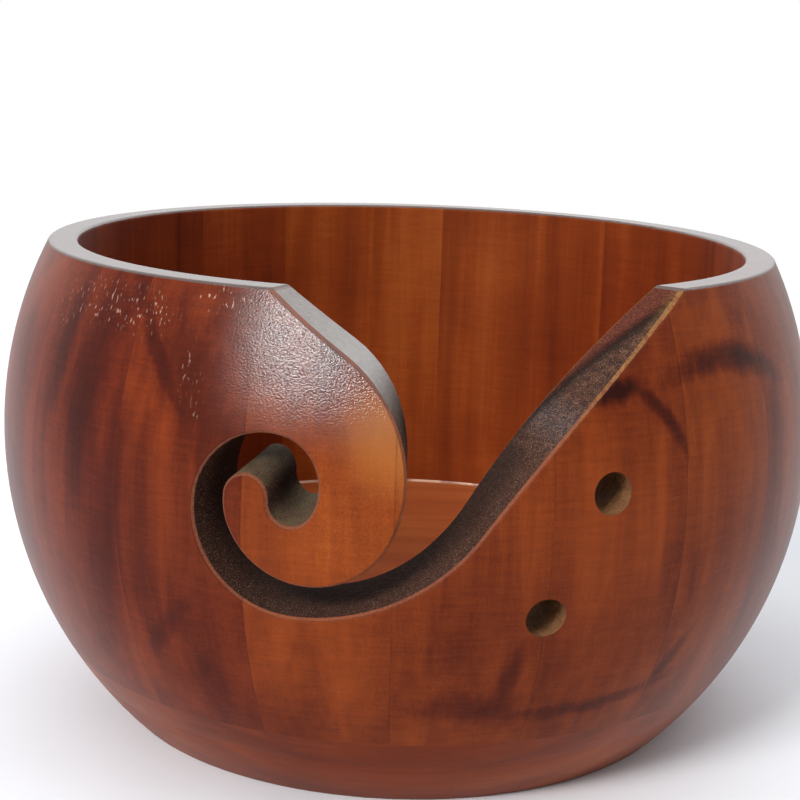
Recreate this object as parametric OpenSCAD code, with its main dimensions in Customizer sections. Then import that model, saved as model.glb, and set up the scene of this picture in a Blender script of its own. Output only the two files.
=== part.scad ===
// Yarn bowl: a ring of glued staves on a base board, turned to a ball outside and bored
// straight inside. A curled yarn slot and two round holes are cut through the front wall.
// The bowl stands on z = 0, its axis is Z, and the slot faces -Y.

/* [Bowl] */
// Radius of the ball that the outside is turned to
belly_r = 80; // [78:0.5:86]
// Height of the ball's centre above the table
belly_z = 56; // [52:0.5:60]
// Height of the rim above the table
bowl_h = 93; // [90:0.5:98]
// Thickness of the wall at the ball's waist, between the outside and the straight bore
waist_wall = 14.5; // [13:0.5:20]
// Radius of the eased edges at the rim
rim_ease = 0.8; // [0.3:0.1:1.2]

/* [Base board] */
// Height of the joint between the base board and the staves
joint_z = 16; // [14:0.5:20]
// How far the base board's spigot stands up inside the staves
spigot_h = 9; // [4:0.5:14]
// Glue gap between the spigot and the bore
spigot_gap = 0.1; // [0.05:0.05:0.3]
// Radius of the eased edge round the foot
foot_ease = 1; // [0.5:0.1:2]

/* [Yarn slot] */
// Where the curl's upper edge leaves the rim, along the wall from the front
curl_start = -28; // [-31:0.5:-25]
// Downward slope of the curl's straight upper edge, in degrees
curl_slope = 30; // [27:0.5:32]
// Length of the straight upper edge
curl_run = 20.4; // [17:0.2:23]
// Radius of the bend over the curl's shoulder
shoulder_r = 21.5; // [19:0.5:24]
// Radius of the curl's underside
tongue_r = 15; // [13.5:0.25:16]
// Radius at the back of the curl, before its tip
tongue_back_r = 11.2; // [9.6:0.2:13]
// Radius of the curl's rounded tip
tip_r = 3.95; // [3.5:0.05:4.4]
// Radius of the notch beside the tip
notch_r = 3.8; // [3.3:0.05:4.3]
// Radius of the eye's right side
eye_r = 8; // [7.5:0.1:8.8]
// Radius of the eye's left side
eye_back_r = 12.5; // [12:0.1:13.5]
// Radius of the channel's bend below the curl
channel_r = 17.4; // [16.8:0.1:18.6]
// Radius of the long bend that leads up out of the channel
rise_r = 37.7; // [35:0.5:40]
// Radius of the right edge, which bows the other way up to the rim
sweep_r = 111.5; // [100:0.5:130]
// Radius that softens the two corners at the rim
corner_r = 8; // [4:0.5:10]
// How much the cut rises towards the inside, in degrees
cut_tilt = 8; // [4:0.5:12]
// Width of the eased edges along the slot, outside and inside
slot_ease = 0.5; // [0.3:0.1:0.8]

/* [Holes] */
// Diameter of the two round holes
hole_d = 7; // [5:0.25:8]
// Direction of the upper hole, in degrees from the front
upper_hole_angle = 25; // [24:0.5:29]
// Height of the upper hole at the outer face
upper_hole_z = 62; // [58:0.5:66]
// Direction of the lower hole, in degrees from the front
lower_hole_angle = 17.5; // [15:0.5:20]
// Height of the lower hole at the outer face
lower_hole_z = 41.5; // [39:0.5:45]

/* [Hidden] */
$fn = 180;

// Glue lines between the staves, in degrees from the front towards +X. The staves were sawn
// by hand and differ a little in width.
seam_angles = [-37, -19, -1, 17.5, 36, 53, 70, 87, 104, 121,
  137.5, 155, 173.5, 188, 207, 226.5, 246, 265.5, 285, 304, 323];
// The staves take turns in these tones.
tones = ["#8a3a1c", "#a5501f", "#74301a"];

// A cut that must run past a face does so by this much.
past = 4;
// An eased edge's cut starts this far off the face.
lift = 0.3;
// Radius of the straight bore inside
bore_r = belly_r - waist_wall;

// Radius of the outside at a height above the table
function wall_r(z) = sqrt(belly_r * belly_r - (z - belly_z) * (z - belly_z));

// The slot's outline lies on the unrolled outside of the bowl: x runs along the wall from the
// front towards +X, and y is the height. It is one chain of tangent bends, walked from the
// rim's left corner round the curl, the notch, the eye and the channel, and up the right edge.
// Each row has the bend's radius and how far it turns, positive to the left.
curl_bends = [
  [shoulder_r, -87],
  [tongue_r, -130],
  [tongue_back_r, -27],
  [tip_r, -177],
  [notch_r, 145],
  [eye_r, 111],
  [eye_back_r, 102],
  [channel_r, 92],
  [rise_r, 55]];
// Slope at which the softened corners run out into the rim
corner_lean = 10;
// Longest step along a bend, and the largest turn in one step
step_len = 2.2;
step_angle = 6;

function ahead(p, heading, dist) = p + dist * [cos(heading), sin(heading)];
// Point reached after a bend that starts at p
function bend_end(p, heading, r, turn) =
  let (side = sign(turn), c = ahead(p, heading + 90 * side, r))
  ahead(c, heading - 90 * side + turn, r);
function bend(p, heading, r, turn) =
  let (n = max(2, ceil(abs(turn) / step_angle), ceil(r * abs(turn) * PI / 180 / step_len)))
  [for (k = [1:n]) bend_end(p, heading, r, turn * k / n)];
function straight(from, to) =
  let (n = ceil(norm(to - from) / step_len))
  [for (k = [1:n]) from + (to - from) * k / n];
// Heading at which a bend to the right, whose centre is at height c_y, reaches a height
function heading_at(height, c_y, r) = acos(min(1, (height - c_y) / r));

// The right edge and its softened corner, which meets the rim's own height
function right_edge(p, heading) =
  let (
    c_y = p[1] - sweep_r * cos(heading),
    rim_lean = heading_at(bowl_h, c_y, sweep_r),
    corner_drop = corner_r * (cos(corner_lean) - cos(rim_lean)),
    lean = heading_at(bowl_h - corner_drop, c_y, sweep_r),
    corner = bend_end(p, heading, sweep_r, lean - heading),
    out = ahead(bend_end(corner, lean, corner_r, corner_lean - lean), corner_lean, 2 * past))
  concat(bend(p, heading, sweep_r, lean - heading),
    bend(corner, lean, corner_r, corner_lean - lean),
    [out, [out[0], bowl_h + 5 * past]]);

// Bend i, all that follow it, and the right edge
function walk(p, heading, i) = i == len(curl_bends) ? right_edge(p, heading - 360 * floor(heading / 360)) :
  let (r = curl_bends[i][0], turn = curl_bends[i][1])
  concat(bend(p, heading, r, turn), walk(bend_end(p, heading, r, turn), heading + turn, i + 1));

slot_outline = let (
    rim_corner = [curl_start, bowl_h],
    corner_drop = corner_r * (cos(corner_lean) - cos(curl_slope)),
    corner = ahead(rim_corner, -curl_slope, corner_drop / sin(curl_slope)),
    corner_top = bend_end(corner, 180 - curl_slope, corner_r, curl_slope - corner_lean),
    shoulder = ahead(rim_corner, -curl_slope, curl_run),
    in = ahead(corner_top, 180 - corner_lean, 2 * past))
  concat([[in[0], bowl_h + 5 * past], in, corner_top],
    bend(corner_top, -corner_lean, corner_r, corner_lean - curl_slope),
    straight(corner, shoulder),
    walk(shoulder, -curl_slope, 0));
function turn_at(p) = p[0] / belly_r * 180 / PI;
slot_turns = [for (p = slot_outline) if (p[1] < bowl_h) turn_at(p)];

// Each outline point is cut along a line of its own, which runs straight in towards the bowl's
// axis and rises by cut_tilt. This is the line's point at a distance from the axis.
function on_line(p, dist) =
  [dist * sin(turn_at(p)), -dist * cos(turn_at(p)), p[1] + (belly_r - dist) * tan(cut_tilt)];
// Distance from the axis at which the line meets a ball of radius r. Above the rim it stays what
// it is at the rim, so that the lines keep their order where there is no wood.
function meets_ball(p, r) =
  let (
    t = tan(cut_tilt),
    k = p[1] + belly_r * t - belly_z,
    dist = (k * t + sqrt((1 + t * t) * r * r - k * k)) / (1 + t * t))
  k > 0 ? max(dist, sqrt(r * r - pow(bowl_h - belly_z, 2))) : dist;
// The outline moved out into the wood by a distance, which widens the slot
function widened(dist) = let (n = len(slot_outline))
  [for (i = [0:n - 1]) let (d = slot_outline[(i + 1) % n] - slot_outline[(i + n - 1) % n])
    slot_outline[i] + dist / norm(d) * [d[1], -d[0]]];

// The cutter is a stack of rings of the outline: a level end outside the bowl, the wide and the
// narrow end of the outer eased edge, the same two inside, and a level end inside the bowl.
module slot_cutter() {
  n = len(slot_outline);
  wide = widened(slot_ease + lift);
  outer_edge = [for (p = wide) on_line(p, meets_ball(p, belly_r + lift))];
  outer_wall = [for (p = slot_outline) on_line(p, meets_ball(p, belly_r - slot_ease))];
  inner_wall = [for (p = slot_outline) on_line(p, bore_r + slot_ease)];
  inner_edge = [for (p = wide) on_line(p, bore_r - lift)];
  rings = [
    [for (q = outer_edge) [q[0], -belly_r - past, q[2]]],
    outer_edge, outer_wall, inner_wall, inner_edge,
    [for (q = inner_edge) [q[0], 0, q[2]]]];
  sides = [for (k = [0:len(rings) - 2], i = [0:n - 1])
    let (j = (i + 1) % n, a = k * n, b = a + n) each [[a + i, a + j, b + j], [a + i, b + j, b + i]]];
  polyhedron(
    points = [for (ring = rings) each ring],
    faces = concat([[for (i = [n - 1:-1:0]) i]],
      [[for (i = [0:n - 1]) (len(rings) - 1) * n + i]], sides),
    convexity = 8);
}

// A round hole, square to the wall in plan and tilted as the slot is
module hole_cutter(at, z) {
  reach = waist_wall + past;
  rotate([0, 0, at])
    translate([0, -wall_r(z), z])
      rotate([90 + cut_tilt, 0, 0])
        translate([0, 0, -2 * reach])
          cylinder(d = hole_d, h = 3 * reach);
}

module circle_at(c, r) {
  translate(c) circle(r);
}

// Half section of the ball, from one height to another
module ball_section(from_z, to_z) {
  intersection() {
    circle_at([0, belly_z], belly_r);
    translate([0, from_z]) square([belly_r + past, to_z - from_z]);
  }
}

// What is taken off to ease the edge between the ball and its level face at height z, with a
// radius of r. up is 1 at the rim and -1 at the foot.
module edge_trim(z, r, up) {
  away = (z - belly_z) * up - r;
  c = [sqrt((belly_r - r) * (belly_r - r) - away * away), z - r * up];
  touch = (c - [0, belly_z]) * belly_r / (belly_r - r) + [0, belly_z];
  difference() {
    polygon([c, [c[0], z + up], [c[0] + 3 * r, z + up], [touch[0] + 2 * r, touch[1]], touch]);
    circle_at(c, r);
  }
}

// Half section of the ring of staves
module stave_section() {
  difference() {
    ball_section(joint_z, bowl_h);
    square([bore_r, bowl_h + past]);
    edge_trim(bowl_h, rim_ease, 1);
    difference() {
      translate([bore_r - past, bowl_h - rim_ease]) square([past + rim_ease, past]);
      circle_at([bore_r + rim_ease, bowl_h - rim_ease], rim_ease);
    }
  }
}

// Half section of the base board: a disc with a rebate round it that the staves sit in, which
// leaves the spigot standing
module base_section() {
  difference() {
    ball_section(0, joint_z + spigot_h);
    translate([bore_r - spigot_gap, joint_z]) square([belly_r, spigot_h + past]);
    edge_trim(0, foot_ease, -1);
  }
}

module base_board() {
  color("#6b2c22") rotate_extrude() base_section();
}

module stave(i) {
  from = seam_angles[i - 1];
  to = seam_angles[i];
  color(tones[i % len(tones)]) difference() {
    rotate_extrude(start = from - 90, angle = to - from) stave_section();
    // Only the staves that the slot and the holes reach are cut.
    if (from < max(slot_turns) && to > min(slot_turns)) {
      slot_cutter();
      hole_cutter(upper_hole_angle, upper_hole_z);
      hole_cutter(lower_hole_angle, lower_hole_z);
    }
  }
}

base_board();
stave(1);  // stave_01
stave(2);  // stave_02
stave(3);  // stave_03
stave(4);  // stave_04
stave(5);  // stave_05
stave(6);  // stave_06
stave(7);  // stave_07
stave(8);  // stave_08
stave(9);  // stave_09
stave(10);  // stave_10
stave(11);  // stave_11
stave(12);  // stave_12
stave(13);  // stave_13
stave(14);  // stave_14
stave(15);  // stave_15
stave(16);  // stave_16
stave(17);  // stave_17
stave(18);  // stave_18
stave(19);  // stave_19
stave(20);  // stave_20
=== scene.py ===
"""Turned yarn bowl of glued staves, stained and lacquered, in soft studio light."""
import math

import bmesh
import bpy
from mathutils import Matrix, Vector


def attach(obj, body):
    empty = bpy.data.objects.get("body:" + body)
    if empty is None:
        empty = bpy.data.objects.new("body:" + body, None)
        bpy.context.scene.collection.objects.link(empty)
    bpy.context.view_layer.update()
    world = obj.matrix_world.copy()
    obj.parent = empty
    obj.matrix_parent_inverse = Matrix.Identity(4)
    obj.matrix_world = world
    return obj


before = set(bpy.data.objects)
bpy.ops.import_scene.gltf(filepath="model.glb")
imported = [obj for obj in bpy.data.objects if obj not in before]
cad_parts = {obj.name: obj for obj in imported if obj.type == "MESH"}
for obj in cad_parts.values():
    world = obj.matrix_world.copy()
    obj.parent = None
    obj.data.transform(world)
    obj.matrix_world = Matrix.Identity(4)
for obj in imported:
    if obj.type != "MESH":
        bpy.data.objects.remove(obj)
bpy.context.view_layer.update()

# The bowl's own measures, in mm. They repeat what the solids are cut to.
BALL_R = 80.0
BALL_Z = 56.0
BORE_R = 65.5
RIM_Z = 93.0
FLOOR_Z = 25.0
SEAMS = [-37, -19, -1, 17.5, 36, 53, 70, 87, 104, 121,
         137.5, 155, 173.5, 188, 207, 226.5, 246, 265.5, 285, 304, 323]


def tone(red, green, blue):
    """A colour as it shows on screen, turned into the linear one that shaders use."""
    def linear(part):
        part /= 255
        return part / 12.92 if part <= 0.04045 else ((part + 0.055) / 1.055) ** 2.4
    return (linear(red), linear(green), linear(blue), 1.0)


# ---------------------------------------------------------------- shader maths

class Value:
    """A socket of a shader, with arithmetic."""

    def __init__(self, shader, socket):
        self.shader = shader
        self.socket = socket

    def _math(self, operation, *others, clamp=False):
        inputs = {i: v for i, v in enumerate((self,) + others)}
        return self.shader.node("ShaderNodeMath", {"operation": operation, "use_clamp": clamp}, inputs)

    def __add__(self, other):
        return self._math("ADD", other)

    __radd__ = __add__

    def __mul__(self, other):
        return self._math("MULTIPLY", other)

    __rmul__ = __mul__

    def __sub__(self, other):
        return self._math("SUBTRACT", other)

    def __rsub__(self, other):
        return self.shader.node("ShaderNodeMath", {"operation": "SUBTRACT"}, {0: other, 1: self})

    def __truediv__(self, other):
        return self._math("DIVIDE", other)

    def __pow__(self, other):
        return self._math("POWER", other)

    def low(self, other):
        return self._math("MINIMUM", other)

    def high(self, other):
        return self._math("MAXIMUM", other)

    def size(self):
        return self._math("ABSOLUTE")

    def root(self):
        return self._math("SQRT")

    def sine(self):
        return self._math("SINE")

    def turn(self):
        """An angle brought between minus and plus half a turn."""
        return self._math("WRAP", math.pi, -math.pi)

    def clamped(self):
        return self._math("ADD", 0.0, clamp=True)

    def step(self, start, end):
        """0 before start and 1 after end, with a smooth rise; start may be the larger."""
        return self.shader.node(
            "ShaderNodeMapRange", {"interpolation_type": "SMOOTHSTEP"},
            {"Value": self, "From Min": start, "From Max": end})

    def other(self, output):
        """Another output of the same node."""
        return Value(self.shader, self.socket.node.outputs[output])


class Shader:
    """A node tree, with one method that makes every node."""

    def __init__(self, tree):
        self.tree = tree
        tree.nodes.clear()

    def node(self, kind, settings=None, inputs=None, output=0):
        made = self.tree.nodes.new(kind)
        for key, value in (settings or {}).items():
            if key == "stops":
                ramp = made.color_ramp
                while len(ramp.elements) < len(value):
                    ramp.elements.new(0.5)
                for element, (place, colour) in zip(ramp.elements, value):
                    element.position = place
                    element.color = colour
            else:
                setattr(made, key, value)
        for key, value in (inputs or {}).items():
            socket = made.inputs[key]
            if isinstance(value, Value):
                self.tree.links.new(value.socket, socket)
            else:
                socket.default_value = value
        return Value(self, made.outputs[output]) if len(made.outputs) else None

    def place(self):
        """Object coordinates in mm, whole and as x, y and z."""
        point = self.node("ShaderNodeTexCoord", output="Object")
        point = self.node("ShaderNodeVectorMath", {"operation": "SCALE"}, {0: point, "Scale": 1000.0})
        return (point,) + self.parts(point)

    def parts(self, point):
        x = self.node("ShaderNodeSeparateXYZ", None, {0: point})
        return x, x.other(1), x.other(2)

    def vector(self, x, y, z):
        return self.node("ShaderNodeCombineXYZ", None, {0: x, 1: y, 2: z})

    def noise(self, point, scale, detail=3.0, roughness=0.5, distortion=0.0, w=None):
        settings = {"noise_dimensions": "3D" if w is None else "4D"}
        inputs = {"Vector": point, "Scale": scale, "Detail": detail, "Roughness": roughness,
                  "Distortion": distortion}
        if w is not None:
            inputs["W"] = w
        return self.node("ShaderNodeTexNoise", settings, inputs)

    def mix(self, factor, first, second):
        return self.node(
            "ShaderNodeMix", {"data_type": "RGBA", "clamp_factor": True},
            {0: factor, 6: first, 7: second}, output=2)

    def ramp(self, value, *stops):
        return self.node("ShaderNodeValToRGB", {"stops": stops}, {0: value})

    def bump(self, height, strength=1.0):
        """A normal bent by a height in mm."""
        return self.node("ShaderNodeBump", None, {"Height": height, "Distance": 0.001, "Strength": strength})


def new_material(name):
    material = bpy.data.materials.new(name)
    material.use_nodes = True
    return material, Shader(material.node_tree)


def new_group(name, inputs, outputs):
    """A node group with number inputs, and outputs given with their socket types."""
    tree = bpy.data.node_groups.new(name, "ShaderNodeTree")
    for label in inputs:
        tree.interface.new_socket(label, in_out="INPUT", socket_type="NodeSocketFloat")
    for label, kind in outputs:
        tree.interface.new_socket(label, in_out="OUTPUT", socket_type=kind)
    return Shader(tree)


# ---------------------------------------------------------------- the wood

# Stain marks on the outside: place along the wall from the front and height, half length and
# half width, lean in degrees, bow, and strength.
MARKS = [
    (64.5, 81.6, 13.5, 2.3, -5, 1.1, 0.75),
    (36.0, 78.2, 4.6, 1.6, 8, 0.0, 0.8),
    (45.6, 73.8, 7.2, 1.15, -47, 0.9, 0.6),
    (38.0, 22.6, 15.0, 1.3, 5, -0.9, 0.5),
    (53.0, 28.5, 6.0, 1.3, 55, 0.0, 0.4),
    (13.0, 24.5, 9.0, 2.6, 3, 0.0, 0.35),
    (19.5, 30.0, 5.5, 1.6, 78, 0.0, 0.35),
    (-43.0, 34.5, 7.5, 1.6, 48, 0.0, 0.3),
    (-62.0, 74.0, 17.0, 4.2, 84, 0.0, 0.5),
    (-70.5, 80.0, 9.0, 2.2, 86, 0.0, 0.4),
    (-44.0, 79.5, 13.0, 1.5, -50, 0.0, 0.5),
    (-37.0, 76.0, 12.0, 5.5, -58, 0.0, 0.35),
    (-53.0, 56.0, 14.0, 3.0, 84, 0.0, 0.3),
]

# Where lacquer specks stand, each a small bump whose pale colour is a painted glint: place along the wall
# and height, half length and half height, and how strongly they show
SPECKS_AND_GLINTS = [(-62.0, 87.5, 13.0, 3.6, 0.6), (-74.0, 85.0, 4.0, 3.4, 0.5), (-50.0, 87.0, 6.0, 3.4, 0.7),
          (-33.5, 90.6, 6.5, 1.9, 1.0), (-39.0, 80.0, 1.1, 5.0, 0.35), (-36.0, 75.0, 1.2, 4.0, 0.35)]

# The curl's upper edge on the unrolled outside, in mm: where its straight run ends, how steep the
# run falls, and the centre of the bend that follows. The cut rises inwards by CUT_TILT.
RUN_END = (-10.333, 82.8)
RUN_SLOPE = math.radians(30)
SHOULDER = (-21.083, 64.18)
CUT_TILT = math.radians(8)

# The crease on the slot's right edge: the turn, in radians, at which it starts on the outside, and
# how many mm deeper it lies for each radian towards the front
CREASE_START = 0.646
CREASE_FALL = 35.5

# How light each stave is, and how orange rather than red
STAVES = {
    1: (0.34, 0.28), 2: (0.36, 0.62), 3: (0.37, 0.64), 4: (0.36, 0.60), 5: (0.40, 0.84),
    6: (0.36, 0.72), 7: (0.35, 0.48), 8: (0.36, 0.38), 9: (0.37, 0.30), 10: (0.37, 0.26),
    11: (0.41, 0.44), 12: (0.44, 0.54), 13: (0.47, 0.68), 14: (0.44, 0.60), 15: (0.40, 0.32),
    16: (0.36, 0.26), 17: (0.34, 0.22), 18: (0.36, 0.22), 19: (0.36, 0.18), 20: (0.37, 0.22),
}

RED_STAIN = ((0.0, tone(34, 10, 8)), (0.25, tone(72, 22, 12)), (0.5, tone(112, 40, 18)),
             (0.75, tone(146, 64, 30)), (1.0, tone(172, 96, 56)))
ORANGE_STAIN = ((0.0, tone(48, 16, 8)), (0.25, tone(98, 38, 14)), (0.5, tone(140, 66, 22)),
                (0.75, tone(172, 94, 38)), (1.0, tone(196, 124, 66)))
RAW_WOOD = ((0.2, tone(64, 38, 24)), (0.5, tone(128, 88, 56)), (0.8, tone(176, 134, 92)))

# The two round holes: a point on each axis, its direction, and the radius, in mm
HOLES = [((30.698, -65.832, 63.003), (0.418505, -0.897488, -0.139173)),
         ((21.677, -68.751, 42.426), (0.297779, -0.944435, -0.139173))]
HOLE_R = 3.5


def reach(along_wall, z, place, height, half_l, half_h):
    """Distance from a spot on the wall, in shares of the spot's half length and half height."""
    return (((along_wall - place) / half_l) ** 2 + ((z - height) / half_h) ** 2).root()


def hole_mask(sh, point):
    """1 on the walls of the two holes."""
    nearest = None
    for centre, axis in HOLES:
        arm = sh.node("ShaderNodeVectorMath", {"operation": "SUBTRACT"}, {0: point, 1: centre})
        away = sh.node("ShaderNodeVectorMath", {"operation": "CROSS_PRODUCT"}, {0: arm, 1: axis})
        away = sh.node("ShaderNodeVectorMath", {"operation": "LENGTH"}, {0: away}, output="Value")
        nearest = away if nearest is None else nearest.low(away)
    return nearest.step(HOLE_R + 0.12, HOLE_R + 0.06)


def curl_normal(sh, turned, along_wall, from_axis, z):
    """The true normal of the curl's upper cut, which the solid gives in narrow flats."""
    height = z - (BALL_R - from_axis) * math.tan(CUT_TILT)
    past_run = ((along_wall - RUN_END[0]) * math.cos(RUN_SLOPE)
                - (height - RUN_END[1]) * math.sin(RUN_SLOPE)).step(-0.2, 0.2)
    aside, up = along_wall - SHOULDER[0], height - SHOULDER[1]
    radius = (aside * aside + up * up).root()
    aside = math.sin(RUN_SLOPE) + past_run * (aside / radius - math.sin(RUN_SLOPE))
    up = math.cos(RUN_SLOPE) + past_run * (up / radius - math.cos(RUN_SLOPE))
    out = up * math.tan(CUT_TILT)
    sine, cosine = turned.sine(), turned._math("COSINE")
    normal = sh.vector(cosine * aside + sine * out, sine * aside - cosine * out, up)
    return sh.node("ShaderNodeVectorMath", {"operation": "NORMALIZE"}, {0: normal})


def stain_marks(sh, point, along_wall, z, fibre, seed):
    """How much the stain marks darken the outside."""
    wander = (sh.noise(point, 0.14, 3.0, 0.6, w=seed) - 0.5) * 5.0
    feather = (sh.noise(fibre, 0.8, 3.0, 0.6) - 0.5) * 1.0
    total = None
    for s, height, half_l, half_w, lean, bow, strength in MARKS:
        c, n = math.cos(math.radians(lean)), math.sin(math.radians(lean))
        ds, dz = along_wall - s + wander * 0.3, z - height + wander * 0.6
        u = (ds * c + dz * n) / half_l
        v = (dz * c - ds * n) / half_w + u * u * bow
        inside = (u * u + v * v).root() + feather
        dark = inside.step(1.7, 0.3) * strength
        total = dark if total is None else total.high(dark)
    return total


def wood_group(name, flat):
    """Stained wood under clear lacquer, for a block whose grain runs up, or across if flat."""
    inputs = ["Middle", "Lightness", "Warmth", "Seed", "Start", "End"]
    outputs = [("Colour", "NodeSocketColor"), ("Roughness", "NodeSocketFloat"),
               ("Height", "NodeSocketFloat"), ("Lacquer", "NodeSocketFloat"),
               ("Face", "NodeSocketVector")]
    sh = new_group(name, inputs, outputs)
    middle = sh.node("NodeGroupInput")
    lightness, warmth, seed, start, end = [middle.other(label) for label in inputs[1:]]

    point, x, y, z = sh.place()
    depth = BALL_R - sh.node("ShaderNodeVectorMath", {"operation": "DISTANCE"},
                             {0: point, 1: (0.0, 0.0, BALL_Z)}, output="Value")
    from_axis = (x * x + y * y).root()
    turned = sh.node("ShaderNodeMath", {"operation": "ARCTAN2"}, {0: x, 1: 0.0 - y})
    along_wall = turned * BALL_R
    outer = depth.step(0.16, 0.08)
    bore = (from_axis - BORE_R).step(0.14, 0.07)
    rim = z.step(RIM_Z - 0.5, RIM_Z - 0.3)
    polished = outer.high(bore).high(rim)

    # The block's own directions: across the stave, into the wall, and along the grain
    block = sh.node("ShaderNodeVectorRotate", {"rotation_type": "Z_AXIS"},
                    {"Vector": point, "Angle": 0.0 - middle})
    across, inward, along = sh.parts(block)
    if flat:
        across, inward, along = along, inward, across
    shift = seed * 37.0
    fibre = sh.vector(across + shift, inward, along * 0.035)
    figure = sh.vector(across + shift, inward * 0.8, along * 0.11)

    broad = sh.noise(figure, 0.11, 2.0, 0.5, 0.6)
    streaks = sh.noise(fibre, 0.5, 4.0, 0.6, 0.3)
    hair = sh.noise(fibre, 3.0, 3.0, 0.6)
    cloud = sh.noise(point, 0.03, 3.0, 0.5, w=seed * 1.7)
    turning = sh.noise(sh.vector(across * 0.1, inward * 0.1, z), 1.6, 4.0, 0.65, w=seed * 0.6)
    speckle = sh.noise(point, 3.4, 2.0, 0.7)
    # Growth rings, cut by the turned face into tall arches
    ring = ((across - 4.0) ** 2 + (inward + 30.0) ** 2 * 0.35).root() + broad * 9.0
    rings = ((ring * 1.35).sine() * 0.5 + 0.5) ** 3

    light = (lightness + (broad - 0.5) * 0.42 + (streaks - 0.5) * 0.2 + (hair - 0.5) * 0.1
             + (cloud - 0.5) * 0.3 + (turning - 0.5) * 0.2 + (speckle - 0.5) * 0.14 - rings * 0.03)
    # The inside is painted a little lighter, as painted light against the shade within the bowl
    light = light + bore * 0.07
    if not flat:
        light = light - stain_marks(sh, point, along_wall, z, fibre, seed) * 0.42 * outer
        # The tongue and a patch left of the eye are lighter, and the shoulder is darker.
        tongue = reach(along_wall, z, -6.0, 60.0, 17.0, 16.0).step(1.25, 0.35)
        amber = reach(along_wall, z, -45.0, 72.0, 7.0, 15.0).step(1.5, 0.3)
        light = light + (tongue * 0.1 + amber * 0.06) * outer
        warmth = warmth + tongue * outer * 0.3
        shoulder = reach(along_wall, z, -17.0, 86.0, 17.0, 10.0).step(1.3, 0.4)
        light = light - shoulder * outer * 0.16 + (speckle - 0.5) * tongue * outer * 0.25
    else:
        light = light + z.step(24.0, 24.8) * 0.22
    light = light.clamped()
    warmer = (warmth + (cloud - 0.5) * 0.6).clamped()
    face = sh.mix(warmer, sh.ramp(light, *RED_STAIN), sh.ramp(light, *ORANGE_STAIN))
    if not flat:
        gold = reach(along_wall, z, -1.0, 72.0, 9.0, 9.0).step(1.4, 0.3) * outer
        face = sh.mix(gold * 0.35, face, tone(186, 122, 58))

    if not flat:
        # Glue lines, thin and dark, and broken where the stain closed them
        gap = ((turned - start).turn().size() * from_axis).low(
            (end - turned).turn().size() * from_axis)
        uneven = sh.noise(sh.vector(seed, 0.0, z), 0.35, 3.0, 0.6)
        line = gap.step(0.2, 0.04) * (uneven - 0.3).clamped() * (1.3 - bore * 0.7)
        face = sh.mix(line, face, tone(38, 14, 9))

    # Cut faces: rough and dark, with painted glints of light on torn fibres. On the right edge a second cut
    # left a crease that runs from the outside at the rim down to the inside; its near-black line is stain and
    # painted shade, and the facet inside it is stained red-brown and painted darker as shade of a face turned
    # from the light.
    grit = sh.noise(point, 3.6, 3.0, 0.75)
    # Painted glints of light on the torn fibres
    fibre_glints = sh.noise(point, 5.0, 1.0, 0.5).step(0.62, 0.76)
    saw = sh.noise(sh.vector(x * 0.5, y * 0.5, z), 1.1, 3.0, 0.6)
    right = turned.step(0.24, 0.3)
    past_crease = depth - (CREASE_START - turned) * CREASE_FALL
    # The crease: near-black stain and painted shade, with a groove in the bump
    crease_stain_and_shade = past_crease.size().step(2.1, 0.1) * right * (saw * 0.7 + 0.45).clamped()
    # The inner facet: red-brown stain, darkened as painted shade
    facet_stain_and_shade = past_crease.step(-0.3, 0.5) * right
    cut_face = sh.ramp((grit * 0.9 + saw * (0.2 + right * 0.3) - 0.06 - right * 0.12).clamped(),
                       (0.3, tone(28, 15, 11)), (0.52, tone(66, 40, 29)), (0.7, tone(112, 78, 60)),
                       (0.85, tone(176, 142, 120)))
    inner_side = depth.step(3.0, 9.0) * (1.0 - right)
    cut_face = sh.mix(inner_side * 0.6, cut_face, tone(28, 16, 11))
    cut_face = sh.mix(facet_stain_and_shade * 0.85, cut_face,
                      sh.mix(grit.step(0.3, 0.7), tone(50, 20, 14), tone(120, 58, 40)))
    cut_face = sh.mix(fibre_glints * (0.55 - inner_side * 0.35 - facet_stain_and_shade * 0.35), cut_face,
                      tone(190, 164, 146))
    # A painted bluish-grey reflection on the right cut, near its outer edge
    painted_sheen = reach(along_wall, z, 27.0, 73.0, 4.0, 4.0).step(1.5, 0.2) * right
    cut_face = sh.mix(painted_sheen * grit.step(0.44, 0.6) * 0.35, cut_face, tone(112, 114, 120))
    cut_face = sh.mix(crease_stain_and_shade * 0.95, cut_face, tone(12, 6, 5))
    holes = hole_mask(sh, point)
    raw = sh.ramp((grit * 0.6 + saw * 0.3 + 0.06).clamped(), *RAW_WOOD)
    cut_face = sh.mix(holes * 0.85, cut_face, raw)

    # The tip and the notch are paler and coarser on the faces that look up.
    straight = sh.node("ShaderNodeNewGeometry", output="Normal")
    upward = (sh.parts(straight)[2].step(0.15, 0.8) * z.step(53.0, 57.0)
              * turned.step(-0.1, -0.16) * (1.0 - holes))
    pale_grain = (grit * 1.6 + saw * 0.5 - 0.6).clamped()
    cut_face = sh.mix(upward * z.step(80.0, 74.0) * 0.6, cut_face,
                      sh.mix(pale_grain, tone(44, 30, 22), tone(150, 128, 96)))

    # The curl's upper cut was rubbed smooth and lacquered with the rim; its pale grey colour is a painted
    # reflection of the bright room, over the lacquer's own gloss.
    smooth_cut = turned.step(0.05, 0.0) * z.step(71.0, 81.0) * (1.0 - polished)
    cut_face = sh.mix(smooth_cut * 0.85, cut_face, sh.mix(saw, tone(84, 72, 66), tone(130, 122, 116)))

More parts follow.
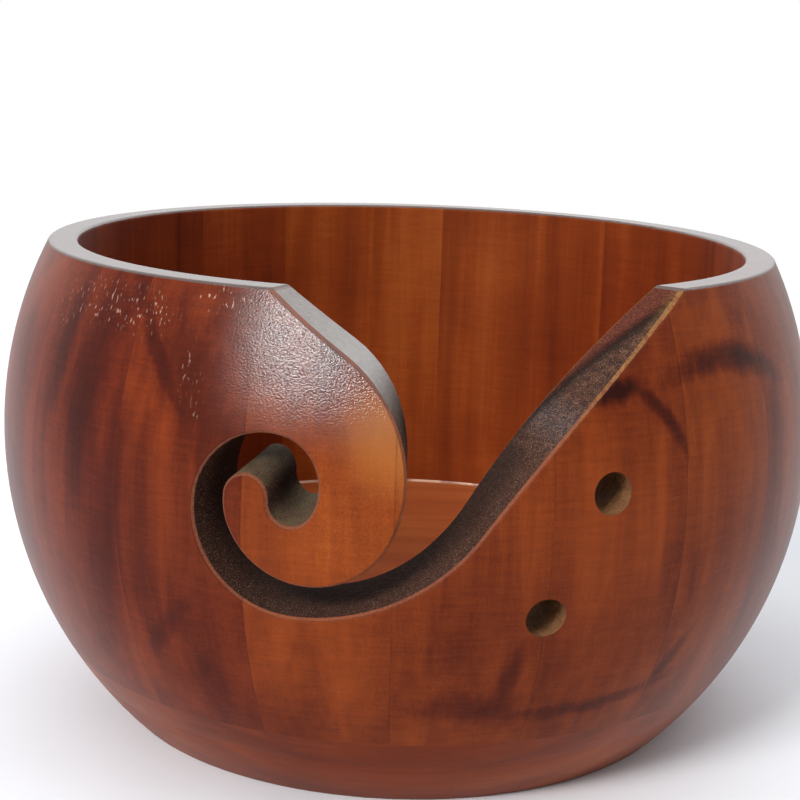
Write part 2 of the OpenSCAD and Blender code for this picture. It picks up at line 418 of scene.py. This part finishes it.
    # Eased edges: a little paler than the face, and rubbed to bare wood on the right up to the rim
    worn = depth.step(0.62, 0.5).high((from_axis - BORE_R).step(0.62, 0.5)) * (1.0 - holes)
    rubbed = right * z.step(64.0, 88.0)
    cut_face = sh.mix(worn, cut_face, sh.mix(speckle * 0.35, face, tone(196, 140, 112)))
    worn_away = sh.noise(point, 0.9, 3.0, 0.7).step(0.34, 0.6)
    cut_face = sh.mix(worn * rubbed * worn_away * 0.8, cut_face,
                      sh.mix(speckle, tone(122, 78, 40), tone(186, 140, 84)))
    tan_edge = depth.step(2.4, 0.2) * right * z.step(84.0, 92.0) * worn_away * 0.5
    cut_face = sh.mix(tan_edge, cut_face, tone(140, 108, 66))
    face = sh.mix(rim * 0.8, face, sh.mix(streaks, tone(30, 22, 18), tone(72, 54, 44)))
    colour = sh.mix(polished, cut_face, face)

    # The lacquer dried pebbled outside, thickest round the curl, and smoother inside.
    pebble = sh.noise(sh.vector(along_wall * 0.85, depth, z * 1.2), 2.7, 2.0, 0.55)
    ripple = sh.noise(point, 0.3, 1.0, 0.4)
    scratch = sh.noise(sh.vector(along_wall * 0.06, 0.0, z), 2.4, 2.0, 0.6)
    near_curl = turned.step(0.14, -0.06) * turned.step(-0.46, -0.24) * z.step(66.5, 80.0)
    drops = sh.noise(sh.vector(along_wall * 1.5, depth, z * 0.7), 1.25, 1.0, 0.4).step(0.6, 0.72)
    patches = None
    for place, height, half_l, half_h, strength in SPECKS_AND_GLINTS:
        patch = reach(along_wall, z, place, height, half_l, half_h).step(1.5, 0.4) * strength
        patches = patch if patches is None else patches.high(patch)
    # Nibs in the lacquer: a real bump, coloured pale as a painted glint of light on each
    nibs_and_glints = drops * patches * outer * sh.noise(point, 0.35, 1.0, 0.5).step(0.36, 0.5)
    colour = sh.mix(nibs_and_glints * 0.6, colour, tone(206, 160, 134))
    pebbled = outer * (near_curl * 0.11 + 0.025)
    polish_height = pebble * pebbled + ripple * 0.05 + scratch * 0.012 + streaks * 0.01 + nibs_and_glints * 0.08
    cut_height = (grit * 0.26 + saw * 0.34) * (1.0 - smooth_cut * 0.8) - crease_stain_and_shade * 0.5
    height = cut_height + polished * (polish_height - cut_height)
    roughness = 0.72 - polished * 0.3 - near_curl * outer * 0.19 - smooth_cut * 0.36 + bore * 0.08
    lacquer = near_curl * outer * 0.9 + rim * 0.9 + smooth_cut * 0.9 + nibs_and_glints
    facing = sh.node("ShaderNodeLayerWeight", None, {"Blend": 0.5}, output="Facing")
    lacquer = (lacquer + polished * facing.step(0.4, 0.95) * 0.7).clamped()
    face_normal = sh.node("ShaderNodeMix", {"data_type": "VECTOR"}, {
        0: smooth_cut.step(0.3, 0.6), 4: straight,
        5: curl_normal(sh, turned, along_wall, from_axis, z)}, output=1)
    sh.node("NodeGroupOutput", None, {
        "Colour": colour, "Roughness": roughness, "Height": height, "Lacquer": lacquer,
        "Face": face_normal})
    return sh.tree


def wood(name, group, **inputs):
    material, sh = new_material(name)
    colour = sh.node("ShaderNodeGroup", {"node_tree": group}, inputs, output="Colour")
    normal = sh.node("ShaderNodeBump", None, {
        "Height": colour.other("Height"), "Distance": 0.001, "Strength": 1.0, "Normal": colour.other("Face")})
    bare, coated = [sh.node("ShaderNodeBsdfPrincipled", None, {
        "Base Color": colour, "Roughness": colour.other("Roughness"), "Normal": normal,
        "Specular IOR Level": level}) for level in (0.08, 1.0)]
    surface = sh.node("ShaderNodeMixShader", None, {0: colour.other("Lacquer"), 1: bare, 2: coated})
    sh.node("ShaderNodeOutputMaterial", None, {"Surface": surface})
    return material


def dress(node_name, material):
    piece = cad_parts[node_name]
    if not piece.material_slots:
        piece.data.materials.append(material)
    for slot in piece.material_slots:
        slot.material = material


stave_group = wood_group("stave_grain", flat=False)
for number, (lightness, warmth) in STAVES.items():
    start, end = [math.radians(seam) for seam in SEAMS[number - 1:number + 1]]
    dress("stave_%02d" % number, wood(
        "stave_wood_%02d" % number, stave_group, Middle=(start + end) / 2, Lightness=lightness,
        Warmth=warmth, Seed=float(number), Start=start, End=end))
dress("base_board", wood(
    "base_wood", wood_group("base_grain", flat=True), Lightness=0.44, Warmth=0.42, Seed=23.0))


def lacquer_fillet():
    """The narrow bead of lacquer that filled the corner between the floor and the wall, its pale patches partly a
    painted highlight.
    """
    bead = 0.5
    turns, steps = 240, 4
    profile = [(BORE_R - 0.02, FLOOR_Z - 0.02), (BORE_R - 0.02, FLOOR_Z + bead)]
    for k in range(1, steps):
        lean = math.pi / 2 * k / steps
        profile.append((BORE_R - bead * (1 - math.cos(lean)) - 0.02 * (1 - k / steps),
                        FLOOR_Z + bead * (1 - math.sin(lean))))
    profile.append((BORE_R - bead, FLOOR_Z - 0.02))
    verts, faces = [], []
    for i in range(turns):
        a = 2 * math.pi * i / turns
        verts += [(r * math.cos(a) / 1000, r * math.sin(a) / 1000, h / 1000) for r, h in profile]
    n = len(profile)
    for i in range(turns):
        for k in range(n):
            a, b = i * n, (i + 1) % turns * n
            faces.append((a + k, b + k, b + (k + 1) % n, a + (k + 1) % n))
    mesh = bpy.data.meshes.new("lacquer_fillet")
    mesh.from_pydata(verts, [], faces)
    mesh.validate()
    shape = bmesh.new()
    shape.from_mesh(mesh)
    bmesh.ops.recalc_face_normals(shape, faces=shape.faces)
    shape.to_mesh(mesh)
    shape.free()
    for face in mesh.polygons:
        face.use_smooth = True
    piece = bpy.data.objects.new("lacquer_fillet", mesh)
    bpy.context.collection.objects.link(piece)
    material, sh = new_material("pooled_lacquer")
    point, x, y, z = sh.place()
    # Pale patches: the bead's colour, and partly a painted highlight along the corner
    pale = sh.noise(point, 0.12, 3.0, 0.6)
    surface = sh.node("ShaderNodeBsdfPrincipled", None, {
        "Base Color": sh.ramp(pale, (0.42, tone(120, 56, 30)), (0.6, tone(196, 150, 122))),
        "Roughness": 0.4 - pale * 0.15})
    sh.node("ShaderNodeOutputMaterial", None, {"Surface": surface})
    mesh.materials.append(material)
    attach(piece, "root")


lacquer_fillet()


# ---------------------------------------------------------------- table, backdrop and lamps

def seen_directly(sh):
    """1 for what the camera sees, straight, in a gloss or through glass."""
    path = sh.node("ShaderNodeLightPath", output="Is Camera Ray")
    return path.high(path.other("Is Glossy Ray")).high(path.other("Is Transmission Ray"))


def table_cloth():
    """Pale cloth that fades into a white backdrop and keeps the bowl's shadow."""
    material, sh = new_material("table_cloth")
    point, x, y, z = sh.place()
    far = (x * x + y * y).root().step(260.0, 800.0)
    fold = sh.noise(point, 0.012, 2.0, 0.5)
    cloth = sh.node("ShaderNodeBsdfDiffuse", None, {
        "Color": sh.mix(fold, tone(224, 227, 232), tone(240, 241, 244)),
        "Normal": sh.bump(fold * 4.0, 0.6)})
    white = sh.node("ShaderNodeEmission", None, {"Color": (1, 1, 1, 1), "Strength": 1.0})
    surface = sh.node("ShaderNodeMixShader", None, {0: seen_directly(sh) * far, 1: cloth, 2: white})
    sh.node("ShaderNodeOutputMaterial", None, {"Surface": surface})
    return material


bpy.ops.mesh.primitive_circle_add(vertices=96, radius=30.0, fill_type="NGON", location=(0, 0, 0))
table = bpy.context.object
table.name = "table"
table.data.materials.append(table_cloth())

# The room is bright behind the bowl and overhead, and dim in front of it.
world = bpy.data.worlds.new("room")
bpy.context.scene.world = world
world.use_nodes = True
sh = Shader(world.node_tree)
x, y, z = sh.parts(sh.node("ShaderNodeTexCoord", output="Generated"))
bright = (y * 0.5 + z * 0.45).step(-0.35, 0.45)
room = sh.node("ShaderNodeBackground", None, {
    "Color": sh.mix(bright, (0.3, 0.305, 0.31, 1), (0.96, 0.98, 1.0, 1)), "Strength": 0.85})
white = sh.node("ShaderNodeBackground", None, {"Color": (1, 1, 1, 1), "Strength": 1.0})
path = sh.node("ShaderNodeLightPath", output="Is Camera Ray")
backdrop = path.high(path.other("Is Transmission Ray")).high(path.other("Is Glossy Ray") * bright.step(0.6, 0.95))
sh.node("ShaderNodeOutputWorld", None, {
    "Surface": sh.node("ShaderNodeMixShader", None, {0: backdrop, 1: room, 2: white})})


def soft_lamp(name, azimuth, elevation, distance, size, power, colour=(1, 1, 1)):
    """A square soft lamp that looks at the bowl. Azimuth 0 is the front, -Y, and + is towards +X."""
    a, e = math.radians(azimuth), math.radians(elevation)
    aim = Vector((0, 0, 0.06))
    place = aim + distance * Vector((math.sin(a) * math.cos(e), -math.cos(a) * math.cos(e), math.sin(e)))
    light = bpy.data.lights.new(name, "AREA")
    light.shape = "RECTANGLE"
    light.size, light.size_y = size
    light.energy = power
    light.color = colour
    lamp = bpy.data.objects.new(name, light)
    lamp.matrix_world = Matrix.Translation(place) @ (aim - place).to_track_quat("-Z", "Y").to_matrix().to_4x4()
    lamp.visible_camera = False
    bpy.context.collection.objects.link(lamp)


soft_lamp("window", -33, 34, 1.6, (0.5, 0.36), 21, (1.0, 1.0, 1.0))
soft_lamp("ceiling", 20, 80, 1.8, (1.6, 1.6), 9, (1.0, 0.98, 0.95))
soft_lamp("back_window", 180, 22, 2.0, (2.4, 1.0), 12, (0.93, 0.97, 1.0))


# ---------------------------------------------------------------- camera

lens = bpy.data.cameras.new("camera")
lens.sensor_width = 36.0
lens.lens = 73.58
lens.clip_start = 0.01
camera = bpy.data.objects.new("camera", lens)
camera.matrix_world = (
    Matrix.Translation((-0.000365, -0.3260, 0.1334))
    @ Matrix.Rotation(0.003, 4, "Z")
    @ Matrix.Rotation(math.pi / 2 - 0.221, 4, "X")
    @ Matrix.Rotation(0.031, 4, "Z"))
bpy.context.collection.objects.link(camera)
bpy.context.scene.camera = camera
bpy.context.scene.view_settings.view_transform = "Standard"
